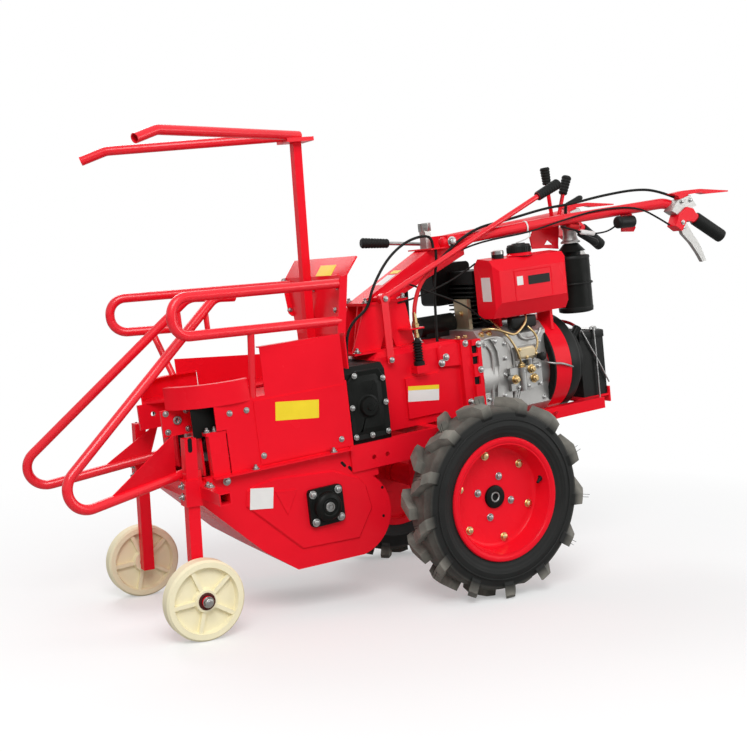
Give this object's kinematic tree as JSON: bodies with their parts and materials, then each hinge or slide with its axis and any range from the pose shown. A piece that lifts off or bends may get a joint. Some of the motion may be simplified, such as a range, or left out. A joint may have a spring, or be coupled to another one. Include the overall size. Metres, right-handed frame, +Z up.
{
  "type": "mini crop harvester",
  "caption": "Walk-behind crop harvester with a red one-row maize header, chopper and snapping rolls on a diesel two-wheel tractor.",
  "frame": {"origin": "on the floor, at the middle of the overall length and width", "axes": "+X forward towards the header, +Y to the machine's left, +Z up"},
  "size_m": [2.0716, 0.688, 1.2844],
  "materials": {
    "red_paint": "gloss",
    "tyre_rubber": "matt",
    "cream_nylon": "satin",
    "black_paint": "satin",
    "bare_steel": "satin",
    "black_plastic": "satin",
    "cast_aluminium": "rough",
    "bright_chrome": "polished",
    "gold_plate": "satin",
    "grip_rubber": "matt"
  },
  "bodies": {
    "chassis": {"air_cleaner": "black_paint", "battery": "black_plastic", "chopper_bearings": "black_paint", "chopper_front_sheet": "red_paint", "chopper_rear_sheet": "red_paint", "chopper_walls": "red_paint", "clutch_cable": "grip_rubber", "clutch_rod": "red_paint", "column_nut": "bright_chrome", "column_stand": "red_paint", "control_cables": "grip_rubber", "control_levers": "black_plastic", "cross_members": "red_paint", "cylinder": "black_paint", "deck_brackets": "red_paint", "end_plates": "red_paint", "engine_case": "cast_aluminium", "engine_frame": "red_paint", "flywheel_shroud": "red_paint", "frame_rails": "red_paint", "fuel_cap": "black_plastic", "fuel_tank": "red_paint", "gear_case": "black_paint", "gearbox": "red_paint", "grips": "grip_rubber", "guide_plates": "red_paint", "hand_levers": "cast_aluminium", "injection_pump": "bare_steel", "key_switch": "black_plastic", "left_deck": "red_paint", "left_divider": "red_paint", "left_handlebar": "red_paint", "left_hoop": "red_paint", "legs": "red_paint", "lever_blades": "red_paint", "lever_gate": "red_paint", "muffler": "black_paint", "neck": "red_paint", "rear_plate": "red_paint", "recoil_starter": "black_paint", "regulator": "gold_plate", "right_deck": "red_paint", "right_divider": "red_paint", "right_handlebar": "red_paint", "right_hoop": "red_paint", "roll_shields": "black_paint", "side_panels": "red_paint", "stalk_fork": "red_paint", "starter_motor": "black_paint", "tank_bracket": "red_paint"},
    "left_wheel": {"left_tyre": "tyre_rubber", "left_rim": "red_paint"},
    "right_wheel": {"right_tyre": "tyre_rubber", "right_rim": "red_paint"},
    "left_caster_wheel": {"left_caster": "cream_nylon"},
    "right_caster_wheel": {"right_caster": "cream_nylon"},
    "rotor": {"chopper_rotor": "bare_steel"},
    "left_snap_roll": {"left_roll": "bare_steel"},
    "right_snap_roll": {"right_roll": "bare_steel"}
  },
  "joints": [
    {"name": "left_wheel_turn", "type": "hinge", "parent": "chassis", "child": "left_wheel", "pos_m": [-0.12838, 0.287, 0.278], "axis": [0, 1, 0], "continuous": true},
    {"name": "right_wheel_turn", "type": "hinge", "parent": "chassis", "child": "right_wheel", "pos_m": [-0.12838, -0.287, 0.278], "axis": [0, 1, 0], "continuous": true},
    {"name": "left_caster_turn", "type": "hinge", "parent": "chassis", "child": "left_caster_wheel", "pos_m": [0.70849, 0.24, 0.1], "axis": [0, 1, 0], "continuous": true},
    {"name": "right_caster_turn", "type": "hinge", "parent": "chassis", "child": "right_caster_wheel", "pos_m": [0.70849, -0.24, 0.1], "axis": [0, 1, 0], "continuous": true},
    {"name": "rotor_turn", "type": "hinge", "parent": "chassis", "child": "rotor", "pos_m": [0.3491, 0, 0.28786], "axis": [0, 1, 0], "continuous": true},
    {"name": "left_roll_turn", "type": "hinge", "parent": "chassis", "child": "left_snap_roll", "pos_m": [0.47378, 0.078, 0.49865], "axis": [0.993, 0, -0.1177], "continuous": true},
    {"name": "right_roll_turn", "type": "hinge", "parent": "chassis", "child": "right_snap_roll", "pos_m": [0.47378, -0.078, 0.49865], "axis": [0.993, 0, -0.1177], "continuous": true}
  ],
  "couplings": [
    {"joint": "right_roll_turn", "follows": "left_roll_turn", "ratio": -1}
  ]
}
